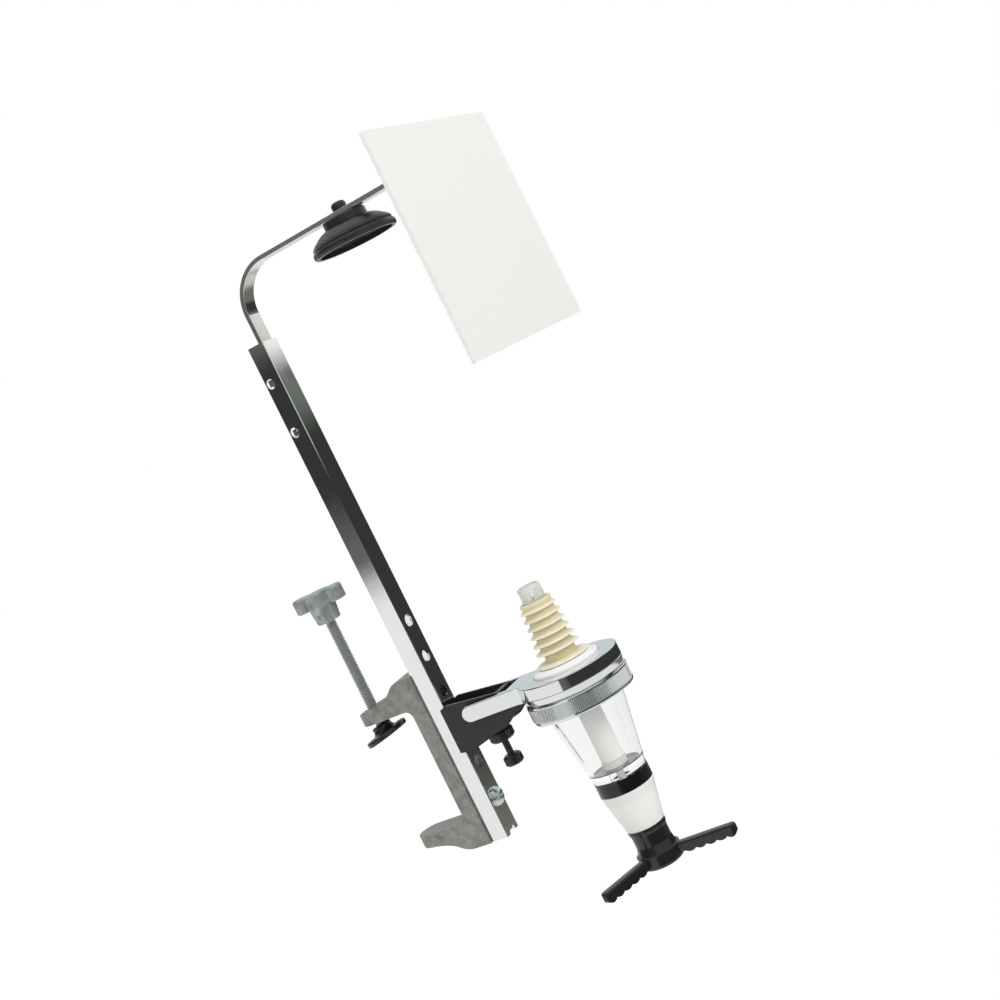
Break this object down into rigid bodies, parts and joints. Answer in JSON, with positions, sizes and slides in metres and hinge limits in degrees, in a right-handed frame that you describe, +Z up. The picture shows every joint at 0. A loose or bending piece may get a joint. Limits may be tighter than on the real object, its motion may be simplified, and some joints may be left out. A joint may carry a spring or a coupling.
{
  "type": "spirit optic dispenser",
  "caption": "Clamp-on spirit measure with a chrome column, sliding bottle arm, clear measuring chamber and push-up tap.",
  "frame": {"origin": "where the clamp screw's axis meets the upper face of the fixed lower jaw", "axes": "+Z up along the column, front (the measure's side) towards -Y, the user's right +X"},
  "size_m": [0.133, 0.1924, 0.3724],
  "materials": {
    "chrome": "polished",
    "cast_grey": "matt casting",
    "zinc_steel": "zinc plated",
    "black_steel": "satin black",
    "black_plastic": "satin",
    "black_rubber": "matt",
    "cream_rubber": "matt",
    "seal_rubber": "matt",
    "white_plastic": "satin",
    "natural_plastic": "frosted",
    "clear_plastic": "clear"
  },
  "bodies": {
    "stand": {"column": "chrome", "arm_spring": "zinc_steel", "clamp_frame": "cast_grey", "clamp_fixing_screws": "chrome", "holder": "black_steel", "plunger_body": "black_steel", "plunger_ring": "black_rubber"},
    "arm": {"top_arm": "chrome", "sign_pad": "seal_rubber", "sign_plate": "white_plastic", "bottle_cup": "black_rubber"},
    "swivel": {"swivel_ball": "zinc_steel"},
    "screw": {"clamp_screw": "zinc_steel", "clamp_knob": "cast_grey", "knob_pin": "zinc_steel"},
    "pad": {"clamp_pad": "black_plastic"},
    "plunger": {"plunger_pin": "black_steel", "plunger_knob": "black_steel"},
    "measure": {"ring_arm": "chrome", "lock_ring": "chrome", "chamber": "clear_plastic", "chamber_gasket": "seal_rubber", "measure_cap": "white_plastic", "inlet_tube": "natural_plastic", "bung": "cream_rubber", "band": "black_plastic", "lower_cone": "natural_plastic", "outlet_collar": "black_plastic"},
    "tap": {"press_hub": "black_plastic", "nozzle": "black_plastic", "spindle": "white_plastic", "upper_seal": "seal_rubber", "lower_seal": "seal_rubber", "return_spring": "zinc_steel"}
  },
  "joints": [
    {"name": "arm_slide", "type": "slide", "parent": "stand", "child": "arm", "axis": [0, 0, 1], "range_m": [-0.013, 0.075]},
    {"name": "screw_travel", "type": "slide", "parent": "stand", "child": "swivel", "axis": [0, 0, -1], "range_m": [0, 0.0457]},
    {"name": "screw_turn", "type": "hinge", "parent": "swivel", "child": "screw", "pos_m": [0, 0, 0.1], "axis": [0, 0, -1], "range_deg": [0, 12960]},
    {"name": "pad_tilt", "type": "hinge", "parent": "swivel", "child": "pad", "pos_m": [0, 0, 0.0591], "axis": [1, 0, 0], "range_deg": [0, 24]},
    {"name": "plunger_lift", "type": "slide", "parent": "stand", "child": "plunger", "axis": [0, 0, 1], "range_m": [0, 0.0045]},
    {"name": "optic_slide", "type": "slide", "parent": "stand", "child": "measure", "axis": [0, -1, 0], "range_m": [0, 0.036]},
    {"name": "tap_push", "type": "slide", "parent": "measure", "child": "tap", "axis": [0, 0, 1], "range_m": [0, 0.006], "stiffness_N_per_m": 400, "springref_m": -0.006, "deforming": ["return_spring"]}
  ],
  "couplings": [
    {"joint": "screw_turn", "follows": "screw_travel", "rad_per_m": 4947.4}
  ]
}
